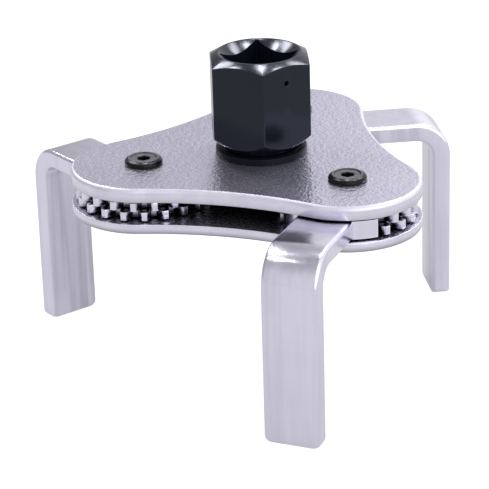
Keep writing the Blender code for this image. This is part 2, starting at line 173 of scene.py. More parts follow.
def gear_outline(teeth, phase, plain_half=None):
    """Involute gear; within plain_half degrees of +X a plain rim takes the teeth's place."""
    pitch_r = GEAR_MODULE * teeth / 2
    base_r = pitch_r * math.cos(PRESSURE_ANGLE)
    tip_r = tip_radius(teeth)
    root_r = pitch_r - GEAR_MODULE
    half_tooth = math.pi / (2 * teeth) - BACKLASH / (4 * pitch_r)

    def involute(angle):
        return math.tan(angle) - angle

    def half_width(radius):
        at_radius = math.acos(base_r / max(radius, base_r))
        return math.degrees(half_tooth + involute(PRESSURE_ANGLE) - involute(at_radius))

    # radius on the flank, degrees added to the tooth's half width there
    flank = [(root_r, 1.3), (root_r + 0.25, 0.35), (base_r, 0.0)]
    flank += [(base_r + (tip_r - base_r) * f, 0.0) for f in (0.25, 0.5, 0.75, 0.93)]
    flank += [(tip_r, -0.25)]
    flank = [(radius, half_width(radius) + extra) for radius, extra in flank]

    teeth_at = [phase + 360.0 / teeth * k for k in range(teeth)]
    if plain_half is not None:
        margin = plain_half + 5.5
        teeth_at = [a for a in sorted(a % 360.0 for a in teeth_at) if margin <= a <= 360.0 - margin]
    points = []
    for azimuth in teeth_at:
        points += [polar(radius, azimuth - half) for radius, half in flank]
        points += [polar(radius, azimuth + half) for radius, half in reversed(flank)]
    if plain_half is not None:
        points.append(polar(root_r, -plain_half - 0.6))
        points += arc(tip_r, -plain_half, 2 * plain_half, 40)
        points.append(polar(root_r, plain_half + 0.6))
    return points


# ==========================================================================================
# meshes (millimetres in, metres out)
# ==========================================================================================
def reshade(obj, angle):
    obj.data.shade_smooth()
    obj.data.set_sharp_from_angle(angle=math.radians(angle))
    return obj


def to_object(name, bm, angle=32.0, recalc=True):
    bmesh.ops.remove_doubles(bm, verts=bm.verts, dist=1e-8)
    if recalc:
        bmesh.ops.recalc_face_normals(bm, faces=bm.faces)
    mesh = bpy.data.meshes.new(name)
    bm.to_mesh(mesh)
    bm.free()
    obj = bpy.data.objects.new(name, mesh)
    bpy.context.scene.collection.objects.link(obj)
    return reshade(obj, angle)


def add_ring(bm, points):
    return [bm.verts.new(Vector(point) * MM) for point in points]


def bridge(bm, lower, upper):
    count = len(lower)
    for i in range(count):
        j = (i + 1) % count
        bm.faces.new((lower[i], lower[j], upper[j], upper[i]))


def skin(name, rings, angle=32.0, closed=False):
    """Skin over rings of points: capped at both ends, or closed into a hollow ring."""
    bm = bmesh.new()
    rows = [add_ring(bm, ring) for ring in rings]
    for lower, upper in zip(rows, rows[1:]):
        bridge(bm, lower, upper)
    if closed:
        bridge(bm, rows[-1], rows[0])
    else:
        bm.faces.new(rows[0][::-1])
        bm.faces.new(rows[-1])
    return to_object(name, bm, angle)


def prism(name, outline, z_low, z_high):
    return skin(name, [[(x, y, z) for x, y in outline] for z in (z_low, z_high)])


def turn_rings(angles, profiles):
    """Rings around Z from one (radius, z) profile per azimuth."""
    return [
        [(*polar(radius, azimuth), z) for (radius, z), azimuth in zip(points, angles)]
        for points in zip(*profiles)
    ]


def turned(name, profile, count, angle=32.0, closed=False):
    angles = [360.0 * i / count for i in range(count)]
    return skin(name, turn_rings(angles, [profile] * count), angle, closed)


def washer(name, inner_r, outer_r, z_low, z_high, roundings, steps, count):
    """Flat ring; roundings run inner low, outer low, outer high, inner high."""
    corners = [(inner_r, z_low), (outer_r, z_low), (outer_r, z_high), (inner_r, z_high)]
    corners = [(*corner, rounding) for corner, rounding in zip(corners, roundings)]
    profile = rounded_path(corners, steps, closed=True)
    return turned(name, profile, count, angle=40.0, closed=True)


def bake_modifiers(obj):
    bpy.context.view_layer.update()
    deps = bpy.context.evaluated_depsgraph_get()
    mesh = bpy.data.meshes.new_from_object(obj.evaluated_get(deps))
    obj.modifiers.clear()
    obj.data = mesh


def use_boolean(obj, tool, operation):
    mod = obj.modifiers.new("bool", "BOOLEAN")
    mod.operation = operation
    mod.solver = "EXACT"
    mod.object = tool
    bake_modifiers(obj)
    bpy.data.objects.remove(tool, do_unlink=True)


def bevelled(obj, width):
    mod = obj.modifiers.new("bevel", "BEVEL")
    mod.width = width * MM
    mod.segments = 2
    mod.limit_method = "ANGLE"
    mod.angle_limit = math.radians(50.0)
    mod.use_clamp_overlap = True
    mod.harden_normals = False
    bake_modifiers(obj)
    return obj


def turn_z(degrees):
    return Matrix.Rotation(math.radians(degrees), 4, "Z")


def to_pivot(k):
    return Matrix.Translation((PIVOTS[k].x, PIVOTS[k].y, 0))


# ==========================================================================================
# node graphs
# ==========================================================================================
class Graph:
    """Short ways to add shader nodes; every method returns an output socket, node() a node."""

    def __init__(self, tree):
        self.tree = tree

    def feed(self, socket, value):
        """Links an output to the socket, or sets the socket's own value."""
        if isinstance(value, bpy.types.NodeSocket):
            self.tree.links.new(value, socket)
        elif socket.type == "RGBA":
            socket.default_value = (*value, 1.0)
        else:
            socket.default_value = value

    def node(self, kind, inputs=None, **settings):
        node = self.tree.nodes.new("ShaderNode" + kind)
        for key, value in settings.items():
            setattr(node, key, value)
        for key, value in (inputs or {}).items():
            self.feed(node.inputs[key], value)
        return node

    def maths(self, operation, *operands):
        return self.node("Math", dict(enumerate(operands)), operation=operation).outputs[0]

    def times(self, first, second):
        return self.maths("MULTIPLY", first, second)

    def plus(self, first, second):
        return self.maths("ADD", first, second)

    def inverse(self, value):
        return self.maths("SUBTRACT", 1.0, value)

    def vector_maths(self, operation, *operands):
        return self.node("VectorMath", dict(enumerate(operands)), operation=operation)

    def dot(self, first, second):
        return self.vector_maths("DOT_PRODUCT", first, second).outputs["Value"]

    def span(self, value, over, to=(0.0, 1.0), **settings):
        """Maps the range `over` on to the range `to`."""
        return self.node("MapRange", {
            "Value": value, "From Min": over[0], "From Max": over[1],
            "To Min": to[0], "To Max": to[1],
        }, **settings).outputs["Result"]


class Material(Graph):
    """A procedural material around the default surface shader."""

    def __init__(self, name):
        self.material = bpy.data.materials.new(name)
        self.material.use_nodes = True
        super().__init__(self.material.node_tree)
        self.surface = self.tree.nodes["Principled BSDF"]
        self.position = self.node("TexCoord").outputs["Object"]

    def finish(self, inputs):
        for key, value in inputs.items():
            self.feed(self.surface.inputs[key], value)
        return self.material

    def noise(self, scale, detail, roughness, stretch=None):
        vector = self.position
        if stretch:
            vector = self.node("Mapping", {"Scale": stretch, "Vector": vector}).outputs["Vector"]
        return self.node("TexNoise", {
            "Scale": scale, "Detail": detail, "Roughness": roughness, "Vector": vector,
        }).outputs["Fac"]

    def ramp(self, value, over, colours):
        node = self.node("ValToRGB", {"Fac": value})
        for element, position, colour in zip(node.color_ramp.elements, over, colours):
            element.position = position
            element.color = (*colour, 1.0)
        return node.outputs["Color"]

    def blend(self, base, to, amount):
        inputs = {"Fac": amount, "Color1": base, "Color2": to}
        return self.node("MixRGB", inputs).outputs["Color"]

    def weighted_sum(self, first, *others):
        """Sum of (value, weight) pairs."""
        total = self.times(*first)
        for value, weight in others:
            total = self.plus(total, self.times(value, weight))
        return total

    def two_scale(self, broad, broad_to, fine, fine_to):
        """Broad variation with a fine one on top, both from noise."""
        return self.plus(
            self.span(broad, over=(0.3, 0.7), to=broad_to),
            self.span(fine, over=(0.3, 0.7), to=fine_to))

    def edge(self, radius):
        """0 on open faces, towards 1 on edges: from bevelled against true normal."""
        bevel = self.node("Bevel", {"Radius": radius * MM}, samples=4)
        geometry = self.node("NewGeometry")
        agreement = self.dot(bevel.outputs["Normal"], geometry.outputs["Normal"])
        return self.span(agreement, over=(1.0, 0.85))

    def z_of(self, vector):
        return self.node("SeparateXYZ", {0: vector}).outputs["Z"]

    def normal_z(self):
        return self.z_of(self.node("NewGeometry").outputs["Normal"])

    def flatness(self):
        """1 on faces that look up or down, 0 on upright sides."""
        return self.span(self.maths("ABSOLUTE", self.normal_z()), over=(0.90, 0.995))

    def rounding(self):
        """1 on the rolled edge between an upright side and a flat face."""
        tilt = self.maths("ABSOLUTE", self.normal_z())
        return self.times(
            self.span(tilt, over=(0.08, 0.30)),
            self.span(tilt, over=(0.93, 0.998), to=(1.0, 0.0)))

    def facing_down(self):
        """0 on upright and upward faces, towards 1 where an edge rounds off underneath."""
        return self.span(self.normal_z(), over=(-0.05, -0.45))

    def z_fade(self, zero_at, one_at):
        """From 0 to 1 between two heights."""
        return self.span(self.z_of(self.position), over=(zero_at * MM, one_at * MM))

    def inner(self):
        """1 on faces that look back at the drive axis, 0 on those that look away."""
        coord = self.node("TexCoord")
        inward = self.vector_maths("MULTIPLY", coord.outputs["Object"], (-1.0, -1.0, 0.0))
        unit = self.vector_maths("NORMALIZE", inward.outputs["Vector"])
        facing = self.dot(unit.outputs["Vector"], coord.outputs["Normal"])
        return self.span(facing, over=(0.30, 0.65))

    def recess(self, reach, over):
        """1 deep inside a gap, 0 on open surfaces: a mask for painted shade in hollows."""
        occlusion = self.node("AmbientOcclusion", {"Distance": reach * MM}, samples=8)
        return self.span(occlusion.outputs["AO"], over=over, to=(1.0, 0.0))

    def bump(self, height, distance, strength):
        return self.node("Bump", {
            "Distance": distance * MM, "Strength": strength, "Height": height,
        }).outputs["Normal"]


# ==========================================================================================
# materials
# ==========================================================================================
def plate_material():
    """Plated pressed steel: pebbled faces, smooth bright sides, painted highlights along the edges,
    painted shade low on the sides, under rounded edges and inside the gap.
    """
    mat = Material("plated_plate_steel")
    cloud = mat.noise(scale=55.0, detail=3.0, roughness=0.6)
    pebble = mat.noise(scale=880.0, detail=1.5, roughness=0.5)
    grain = mat.noise(scale=1500.0, detail=2.0, roughness=0.6)
    fine = mat.noise(scale=4200.0, detail=2.0, roughness=0.5)
    edge = mat.edge(radius=0.6)
    flat = mat.flatness()

    face = mat.ramp(
        cloud, over=(0.30, 0.70), colours=((0.680, 0.660, 0.815), (0.745, 0.725, 0.880)))
    speck = mat.span(grain, over=(0.35, 0.68))
    face = mat.blend(face, to=(0.85, 0.83, 0.97), amount=mat.times(speck, 0.30))
    # painted highlight along the edges of the faces
    face = mat.blend(face, to=(0.93, 0.91, 0.97), amount=mat.times(edge, 0.7))

    side = mat.ramp(
        mat.noise(scale=210.0, detail=2.0, roughness=0.5),
        over=(0.35, 0.68), colours=((0.790, 0.765, 0.890), (0.870, 0.845, 0.970)))
    # painted shade on the lowest part of the sides, a dark line along the lower rim
    painted_low_shade = mat.times(mat.z_fade(zero_at=4.7, one_at=4.0), mat.inverse(flat))
    side = mat.blend(side, to=(0.42, 0.39, 0.48), amount=mat.times(painted_low_shade, 0.62))

    colour = mat.blend(side, to=face, amount=flat)
    # painted shade where an edge rounds off underneath
    underside = mat.times(mat.facing_down(), 0.75)
    colour = mat.blend(colour, to=(0.36, 0.34, 0.43), amount=underside)
    # painted shade, near black, deep inside the gap between the plates
    painted_recess_shade = mat.recess(reach=10.0, over=(0.14, 0.52))
    colour = mat.blend(colour, to=(0.012, 0.013, 0.020), amount=mat.times(painted_recess_shade, 0.97))

    face_rough = mat.span(grain, over=(0.3, 0.7), to=(0.22, 0.31))
    side_rough = mat.span(
        mat.noise(scale=300.0, detail=2.0, roughness=0.55), over=(0.3, 0.7), to=(0.18, 0.25))
    rough = mat.plus(mat.times(face_rough, flat), mat.times(side_rough, mat.inverse(flat)))

    # the relief is full on open faces and nearly gone on sides and edges
    relief = mat.weighted_sum((pebble, 1.0), (grain, 0.62), (fine, 0.08))
    open_face = mat.times(flat, mat.inverse(edge))
    relief = mat.times(relief, mat.plus(mat.times(open_face, 0.96), 0.04))
    return mat.finish({
        "Base Color": colour,
        "Metallic": 0.92,
        "Roughness": mat.maths("MAXIMUM", rough, mat.times(mat.rounding(), 0.50)),
        "Normal": mat.bump(relief, distance=0.155, strength=1.0),
    })


def chrome_material():
    """Soft chrome over forged bar: slow waves, faint draw lines, painted reflection streaks,
    painted highlights on the edges, painted shade between the teeth.
    """
    mat = Material("soft_chrome")
    slow = mat.noise(scale=120.0, detail=2.0, roughness=0.5)
    lines = mat.noise(scale=1.0, detail=3.0, roughness=0.6, stretch=(900.0, 900.0, 45.0))
    fine = mat.noise(scale=2600.0, detail=2.0, roughness=0.5)
    bands = mat.noise(scale=1.0, detail=2.0, roughness=0.5, stretch=(330.0, 330.0, 11.0))
    edge = mat.edge(radius=0.9)

    colour = mat.ramp(
        slow, over=(0.35, 0.70), colours=((0.845, 0.820, 0.960), (0.880, 0.855, 0.990)))
    # painted upright reflection streaks, darkest as painted shade on the faces towards the drive
    # axis
    painted_reflection_bands = mat.plus(
        mat.span(bands, over=(0.46, 0.66), to=(0.0, 0.16)),
        mat.times(mat.inner(), mat.span(bands, over=(0.40, 0.62), to=(0.28, 0.80))))
    colour = mat.blend(colour, to=(0.50, 0.485, 0.585), amount=painted_reflection_bands)
    streak = mat.span(lines, over=(0.42, 0.66), to=(0.0, 0.14))
    colour = mat.blend(colour, to=(0.66, 0.65, 0.73), amount=streak)
    # painted highlight along the edges
    colour = mat.blend(colour, to=(0.95, 0.94, 0.98), amount=mat.times(edge, 0.5))
    # painted shade in recesses, only high up between the plates, so none falls where the feet meet
    # the floor
    painted_recess_shade = mat.times(
        mat.recess(reach=8.0, over=(0.18, 0.50)), mat.z_fade(zero_at=-22.0, one_at=-14.0))
    colour = mat.blend(colour, to=(0.016, 0.017, 0.024), amount=mat.times(painted_recess_shade, 0.96))

    rough = mat.two_scale(slow, (0.14, 0.22), fine, (-0.02, 0.03))
    relief = mat.weighted_sum((slow, 3.0), (lines, 0.12), (fine, 0.06))
    return mat.finish({
        "Base Color": colour,
        "Metallic": 1.0,
        "Roughness": mat.maths("MAXIMUM", rough, mat.times(edge, 0.50)),
        "Normal": mat.bump(relief, distance=0.05, strength=0.6),
    })


def black_oxide_material(name, colours, rough, specular, edge_wear_and_sheen, tint=(1.0, 1.0, 1.0)):
    """Blackened steel: blue-black, satin, rubbed bare in patches along its edges, which are also
    lightened as a painted highlight.
    """
    mat = Material(name)
    cloud = mat.noise(scale=140.0, detail=3.0, roughness=0.6)
    fine = mat.noise(scale=2400.0, detail=3.0, roughness=0.6)
    patches = mat.noise(scale=420.0, detail=3.0, roughness=0.6)
    # edge wear in patches, its lighter colour also serving as a painted highlight on edges and
    # chamfers
    worn_and_sheen = mat.times(
        mat.edge(radius=0.35), mat.span(patches, over=(0.40, 0.62), to=(0.15, 1.0)))
    colour = mat.ramp(cloud, over=(0.3, 0.7), colours=colours)
    return mat.finish({
        "Base Color": mat.blend(
            colour, to=(0.22, 0.22, 0.25), amount=mat.times(worn_and_sheen, edge_wear_and_sheen)),
        "Metallic": mat.times(worn_and_sheen, 0.6),
        "Specular IOR Level": specular,
        "Specular Tint": tint,
        "Roughness": mat.two_scale(cloud, rough, fine, (-0.03, 0.03)),
        "Normal": mat.bump(fine, distance=0.012, strength=0.5),
    })


def screw_material():
    """Black zinc: dark sides, a painted mauve-grey sheen on the flat top, kept off the socket,
    which stays dark as painted shade.
    """
    mat = Material("black_zinc_screw")
    cloud = mat.noise(scale=500.0, detail=3.0, roughness=0.6)
    fine = mat.noise(scale=2600.0, detail=2.0, roughness=0.5)
    # painted sheen on the flat top, in clouds; the recess mask keeps it out of the socket as
    # painted shade
    top = mat.times(mat.flatness(), mat.span(cloud, over=(0.35, 0.65), to=(0.55, 1.0)))
    painted_top_sheen = mat.times(top, mat.inverse(mat.recess(reach=2.0, over=(0.30, 0.75))))
    return mat.finish({
        "Base Color": mat.blend(
            (0.0035, 0.0035, 0.005), to=(0.105, 0.100, 0.125), amount=painted_top_sheen),
        "Metallic": mat.times(painted_top_sheen, 0.35),
        "Specular IOR Level": mat.span(painted_top_sheen, over=(0.0, 1.0), to=(0.22, 0.55)),
        "Roughness": mat.two_scale(cloud, (0.26, 0.36), fine, (-0.03, 0.03)),
        "Normal": mat.bump(fine, distance=0.015, strength=0.5),
    })


def steel_material(name, colours, rough, grain_scale, relief):
    """Bare or plated steel, a little brighter along its edges as a painted highlight."""
    mat = Material(name)
    cloud = mat.noise(scale=160.0, detail=3.0, roughness=0.6)
    grain = mat.noise(scale=grain_scale, detail=3.0, roughness=0.6)
    edge = mat.edge(radius=0.25)
    colour = mat.ramp(cloud, over=(0.3, 0.7), colours=colours)
    return mat.finish({
        # painted highlight along the edges
        "Base Color": mat.blend(colour, to=(0.90, 0.89, 0.93), amount=mat.times(edge, 0.5)),
        "Metallic": 1.0,
        "Roughness": mat.two_scale(cloud, rough, grain, (-0.04, 0.04)),
        "Normal": mat.bump(grain, distance=relief, strength=0.6),
    })


PLATE_STEEL = plate_material()
LEG_CHROME = chrome_material()
HUB_BLACK = black_oxide_material(
    "black_oxide_hub", colours=((0.0036, 0.0045, 0.0090), (0.0058, 0.0070, 0.0130)),
    rough=(0.15, 0.21), specular=0.42, edge_wear_and_sheen=0.32, tint=(0.78, 0.83, 1.0))
WASHER_BLACK = black_oxide_material(
    "black_oxide_washer", colours=((0.0035, 0.0040, 0.0070), (0.0060, 0.0066, 0.0100)),
    rough=(0.26, 0.34), specular=0.13, edge_wear_and_sheen=0.12, tint=(0.80, 0.85, 1.0))
SCREW_BLACK = screw_material()
GEAR_BLACK = black_oxide_material(
    "black_oxide_gear", colours=((0.006, 0.007, 0.010), (0.011, 0.012, 0.016)),
    rough=(0.32, 0.42), specular=0.35, edge_wear_and_sheen=0.35)
SLEEVE_STEEL = steel_material(
    "turned_sleeve_steel", colours=((0.46, 0.46, 0.48), (0.56, 0.56, 0.58)),
    rough=(0.26, 0.34), grain_scale=1800.0, relief=0.012)
NUT_ZINC = steel_material(
    "zinc_plated_nut", colours=((0.58, 0.59, 0.61), (0.72, 0.73, 0.75)),
    rough=(0.24, 0.34), grain_scale=1300.0, relief=0.02)
SPRING_STEEL = steel_material(
    "phosphated_spring_steel", colours=((0.10, 0.10, 0.11), (0.17, 0.17, 0.18)),
    rough=(0.32, 0.42), grain_scale=1500.0, relief=0.02)


def dress(obj, material, body, node):
    """Gives a piece its material and tells the frame which node it stands in for."""
    obj.data.materials.clear()
    obj.data.materials.append(material)
    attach(obj, body)
    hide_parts(node)


# ==========================================================================================
# plates: a lobe around each pivot, hollowed between the lobes
# ==========================================================================================
LOBE_R = 16.7               # around each pivot
WAIST_R = 27.4              # from the drive axis to the middle of a hollow
HOLE_CHAMFER = 0.22
BORDER = 0.12               # narrow flat border that keeps the face's shading flat


def plate_outline(inset):
    """Lobes and hollows are arcs that meet in a common tangent."""
    gap = LOBE_R - WAIST_R
    hollow_at = -((gap ** 2 - PIVOT_R ** 2) / (2 * gap + PIVOT_R))
    hollow_r = hollow_at - WAIST_R
    x, y = polar(hollow_at, 60.0)
    lobe_half = math.degrees(math.atan2(y, x - PIVOT_R))
    hollow_half = lobe_half - 60.0
    points = []
    for k in range(3):
        azimuth = 120.0 * k
        points += arc(
            LOBE_R - inset, azimuth - lobe_half, 2 * lobe_half, 72, polar(PIVOT_R, azimuth))
        points += arc(
            hollow_r + inset, azimuth + 240.0 + hollow_half, -2 * hollow_half, 40,
            polar(hollow_at, azimuth + 60.0))[1:-1]
    return points


def plate(name, side, bore_r, node):
    """side lists (inset, z) from the lower face's border to the upper face's border."""
    (low_inset, z_low), (high_inset, z_high) = side[0], side[-1]
    bm = bmesh.new()
    side = [(low_inset + BORDER, z_low), *side, (high_inset + BORDER, z_high)]
    rows = [add_ring(bm, [(x, y, z) for x, y in plate_outline(inset)]) for inset, z in side]
    for lower, upper in zip(rows, rows[1:]):
        bridge(bm, lower, upper)

    face_loops = [[rows[0]], [rows[-1]]]
    holes = [((0.0, 0.0), bore_r, 120)]
    holes += [(polar(PIVOT_R, 120.0 * k), PIVOT_HOLE_R, 48) for k in range(3)]
    cut = HOLE_CHAMFER
    for middle, hole_r, count in holes:
        section = [
            (hole_r + cut + 0.1, z_low), (hole_r + cut, z_low),
            (hole_r + cut * 0.3, z_low + cut * 0.3), (hole_r, z_low + cut),
            (hole_r, z_high - cut), (hole_r + cut * 0.3, z_high - cut * 0.3),
            (hole_r + cut, z_high), (hole_r + cut + 0.1, z_high),
        ]
        rings = [
            add_ring(bm, [(x, y, z) for x, y in circle(radius, count, middle)])
            for radius, z in section
        ]
        for lower, upper in zip(rings, rings[1:]):
            for i in range(count):
                j = (i + 1) % count
                bm.faces.new((lower[i], upper[i], upper[j], lower[j]))
        face_loops[0].append(rings[0])
        face_loops[1].append(rings[-1])

    for loops in face_loops:
        corners = [vert for loop in loops for vert in loop]
        for triangle in tessellate_polygon([[vert.co.copy() for vert in loop] for loop in loops]):
            # skips a triangle that repeats a corner or a face already there
            try:
                bm.faces.new([corners[i] for i in triangle])
            except ValueError:
                pass
    dress(to_object(name, bm, 40.0), PLATE_STEEL, "housing", node)


def top_plate():
    """Sharp lower edge, upper edge rolled over."""
    z_low, z_high = TOP_Z
    roll_width, roll_height = 1.0, 1.15
    side = [(0.30, z_low), (0.09, z_low + 0.09), (0.0, z_low + 0.30)]
    for i in range(9):
        angle = math.radians(90.0 * i / 8)
        side.append((
            roll_width * (1 - math.cos(angle)),
            z_high - roll_height + roll_height * math.sin(angle)))
    plate("top_plate_shell", side, bore_r=8.10, node="top_plate")


def bottom_plate():
    """Lower edge rolled over, sharp upper edge."""
    z_low, z_high = BOTTOM_Z
    roll = 0.7
    side = []
    for i in range(9):
        angle = math.radians(90.0 * i / 8)
        side.append((roll * (1 - math.sin(angle)), z_low + roll * (1 - math.cos(angle))))
    side += [(0.0, z_high - 0.2), (0.06, z_high - 0.06), (0.2, z_high)]
    plate("bottom_plate_shell", side, bore_r=6.30, node="bottom_plate")


top_plate()
bottom_plate()


# ==========================================================================================
# legs: bar bent out of its toothed hub
# ==========================================================================================
ARM_WIDTH, ARM_THICK = 13.0, 4.5
ARM_CORNER_R = 0.95
ARM_REACH = 37.0            # from the pivot to the outer face of the upright part
BEND_R = 8.5                # outer radius of the bend
FOOT_R = 1.3                # rounding at the foot's end


def leg_arm():
    """Rounded bar that runs out along +X, bends and goes down to the foot."""
    section = []
    for x_sign, y_sign, start in ((1, 1, 0), (-1, 1, 90), (-1, -1, 180), (1, -1, 270)):
        corner = (
            x_sign * (ARM_WIDTH / 2 - ARM_CORNER_R), y_sign * (ARM_THICK / 2 - ARM_CORNER_R))
        section += arc(ARM_CORNER_R, start, 90.0, 7, corner)

    arm_z = ARM_TOP_Z - ARM_THICK / 2
    mid_r = BEND_R - ARM_THICK / 2
    bend_x, bend_z = ARM_REACH - BEND_R, ARM_TOP_Z - BEND_R
    upright_x = bend_x + mid_r
    # x, z, direction of the outer face's normal in XZ, inset of the section
    stations = [(x, arm_z, 90.0, 0.0) for x in (9.0, 20.0, bend_x - 0.6)]
    for i in range(37):
        angle = 90.0 - 90.0 * i / 36
        x, z = polar(mid_r, angle)
        stations.append((bend_x + x, bend_z + z, angle, 0.0))
    stations += [(upright_x, z, 0.0, 0.0) for z in (-8.0, -22.0)]
    for i in range(10):
        angle = math.radians(90.0 * i / 9)
        z = FOOT_Z + FOOT_R * (1 - math.sin(angle))
        stations.append((upright_x, z, 0.0, FOOT_R * (1 - math.cos(angle))))

    rings = []
    for x, z, angle, inset in stations:
        normal_x, normal_z = polar(1.0, angle)
        ring = []
        for across, through in section:
            y = across * (ARM_WIDTH - 2 * inset) / ARM_WIDTH
            offset = through * (ARM_THICK - 0.5 * inset) / ARM_THICK
            ring.append((x + normal_x * offset, y, z + normal_z * offset))
        rings.append(ring)
    return skin("leg_arm", rings)


def leg_mesh():
    """One leg with its pivot on the Z axis and its arm along +X."""
    row_low, row_high = LOWER_ROW[0], UPPER_ROW[1]
    half_turn = 180.0 / PLANET_TEETH
    leg, upper = [
        bevelled(prism(name, gear_outline(PLANET_TEETH, phase, plain_half=45.0), *row), GEAR_BEVEL)
        for name, phase, row in (
            ("leg_lower", 180.0, LOWER_ROW), ("leg_upper", 180.0 + half_turn, UPPER_ROW))
    ]
    core = prism("leg_core", circle(12.2, 120), row_low + 0.6, row_high - 0.6)
    arm = leg_arm()
    # solid sector behind the plain part of both rims
    rim_half = 44.6
    sector = [(1.0, 0.0)] + arc(tip_radius(PLANET_TEETH) + 0.03, -rim_half, 2 * rim_half, 40)
    rim = prism("leg_rim", sector, row_low + 0.05, row_high - 0.05)
    for part in (core, rim, upper, arm):
        use_boolean(leg, part, "UNION")
    bore = [(4.75, 4.0), (4.75, 5.9), (4.30, 6.35), (4.30, 10.15), (4.75, 10.6), (4.75, 12.0)]
    use_boolean(leg, turned("leg_bore", bore, 64), "DIFFERENCE")
    return reshade(leg, 30.0)


def legs():
    master = leg_mesh()
    for k in range(3):
        leg = bpy.data.objects.new("leg_bar_%d" % (k + 1), master.data.copy())
        bpy.context.scene.collection.objects.link(leg)
        azimuth = 120.0 * k
        leg.data.transform(
            Matrix.Translation((*[v * MM for v in polar(PIVOT_R, azimuth)], 0.0))
            @ turn_z(azimuth + ARM_REST_DEG))
        reshade(leg, 30.0)
        dress(leg, LEG_CHROME, "jaw_%d" % (k + 1), "leg_%d" % (k + 1))
    bpy.data.objects.remove(master, do_unlink=True)


legs()


# ==========================================================================================
# drive hub and the rings on it
# ==========================================================================================
HEX_LOW, HEX_TOP = 16.8, z_range("drive_hub")[1]
HEX_APOTHEM, HEX_CORNER_R = 11.0, 0.35
SQUARE_HALF, SQUARE_CORNER_R = 6.45, 0.45
HEX_TOP_R, HEX_LOW_R = 9.6, 10.0        # the round ends that the hex is chamfered to
CHAMFER_SLOPE = math.tan(math.radians(30.0))
SINK_R = 9.15                           # countersink around the square hole
SINK_SLOPE = math.tan(math.radians(35.0))

# the spindle from its lower end up to the head: radius, z, rounding
SPINDLE = [
    (0.4, 0.0, 0), (5.4, 0.0, 0.2), (6.0, 0.6, 0.2), (6.0, 0.8, 0.03), (5.0, 0.8, 0.03),
    (5.0, 2.3, 0.1), (6.0, 2.3, 0.03), (6.0, 5.90, 0.1), (7.6, 5.90, 0.1), (7.6, 10.70, 0.05),
    (7.8, 10.70, 0.05), (7.8, 15.9, 0.15), (8.4, 15.9, 0.1), (8.4, HEX_LOW, 0.2),
    (9.7, HEX_LOW, 0),
]


def head_profile(azimuth):
    """Up the hex's side, over the top and down the square hole."""
    hex_r = polygon_radius(azimuth, 6, HEX_APOTHEM, HEX_CORNER_R, HUB_DEG)
    square_r = polygon_radius(azimuth, 4, SQUARE_HALF, SQUARE_CORNER_R, HUB_DEG)
    return rounded_path([
        (HEX_LOW_R, HEX_LOW, 0),
        (hex_r, HEX_LOW + (hex_r - HEX_LOW_R), 0.22),
        (hex_r, HEX_TOP - (hex_r - HEX_TOP_R) * CHAMFER_SLOPE, 0.22),
        (HEX_TOP_R, HEX_TOP, 0.16),
        (SINK_R, HEX_TOP, 0.14),
        (square_r, HEX_TOP - (SINK_R - square_r) * SINK_SLOPE, 0.08),
        (square_r, HEX_TOP - 16.5, 0.3),
        (1.0, HEX_TOP - 16.9, 0),
    ], 3)


def drive_hub():
    angles = azimuths(1.5, (6, HUB_DEG, 1.9, 13), (4, HUB_DEG, 6.5, 15))
    rings = turn_rings(angles, [rounded_path(SPINDLE, 2)] * len(angles))
    rings += turn_rings(angles, [head_profile(azimuth) for azimuth in angles])
    hub = skin("drive_hub_body", rings, angle=38.0)
    # cross hole for a ratchet's detent pin, through the middle of one hex face
    pin = turned("detent", [(0.74, 14.0), (0.74, 11.02), (0.6, 10.88), (0.6, 2.0)], 36)
    pin.data.transform(
        Matrix.Translation((0, 0, (HEX_TOP - 4.8) * MM))
        @ turn_z(HUB_DEG + 30.0)
        @ Matrix.Rotation(math.pi / 2, 4, "Y"))
    use_boolean(hub, pin, "DIFFERENCE")
    # the two flats that carry the sun gears
    for azimuth in (0.0, 180.0):
        flat = prism("flat", [(6.3, -12), (12, -12), (12, 12), (6.3, 12)], 5.97, 10.63)
        flat.data.transform(turn_z(azimuth))
        use_boolean(hub, flat, "DIFFERENCE")
    dress(reshade(hub, 38.0), HUB_BLACK, "hub", "drive_hub")


def hub_washers():
    upper = washer(
        "hub_washer_ring", 8.75, 10.45, TOP_Z[1] + SEAT_GAP, z_range("hub_washer")[1],
        roundings=(0.1, 0.15, 0.38, 0.15), steps=5, count=160)
    dress(upper, WASHER_BLACK, "hub", "hub_washer")
    thrust = washer(
        "thrust_washer_ring", 6.30, 9.0, *z_range("thrust_washer"),
        roundings=(0.1, 0.2, 0.1, 0.1), steps=4, count=120)
    dress(thrust, SPRING_STEEL, "hub", "thrust_washer")


def retaining_ring():
    """Open ring, its gap on +X, with a pierced ear on each side of the gap."""
    low, high = z_range("retaining_ring")
    gap_half = 14.0
    sweep = 360 - 2 * gap_half
    outline = arc(7.4, gap_half, sweep, 90) + arc(5.3, 360 - gap_half, -sweep, 90)
    ring = prism("retaining_ring_clip", outline, low, high)
    # name, radius, points, distance of its ends inside the ring's faces, operation
    for name, radius, count, inset, operation in (
            ("ear", 1.45, 48, 0.02, "UNION"), ("hole", 0.65, 30, -1, "DIFFERENCE")):
        for side in (1, -1):
            middle = polar(7.7, side * 25.0)
            tool = prism(name, circle(radius, count, middle), low + inset, high - inset)
            use_boolean(ring, tool, operation)
    ring = reshade(bevelled(ring, 0.08), 35.0)
    dress(ring, SPRING_STEEL, "hub", "retaining_ring")


def sun_gear(name, low, high, phase, node):
    """Gear with a double-D bore."""
    gear = bevelled(prism(name, gear_outline(SUN_TEETH, phase), low, high), GEAR_BEVEL)
    bore_r, flat_at = 7.9, 6.6
    flat_half = math.degrees(math.acos(flat_at / bore_r))
    bore = []
    for start in (flat_half, 180.0 + flat_half):
        bore += arc(bore_r, start, 180.0 - 2 * flat_half, 32)
    use_boolean(gear, prism("double_d", bore, low - 2, high + 2), "DIFFERENCE")
    dress(reshade(gear, 30.0), GEAR_BLACK, "hub", node)


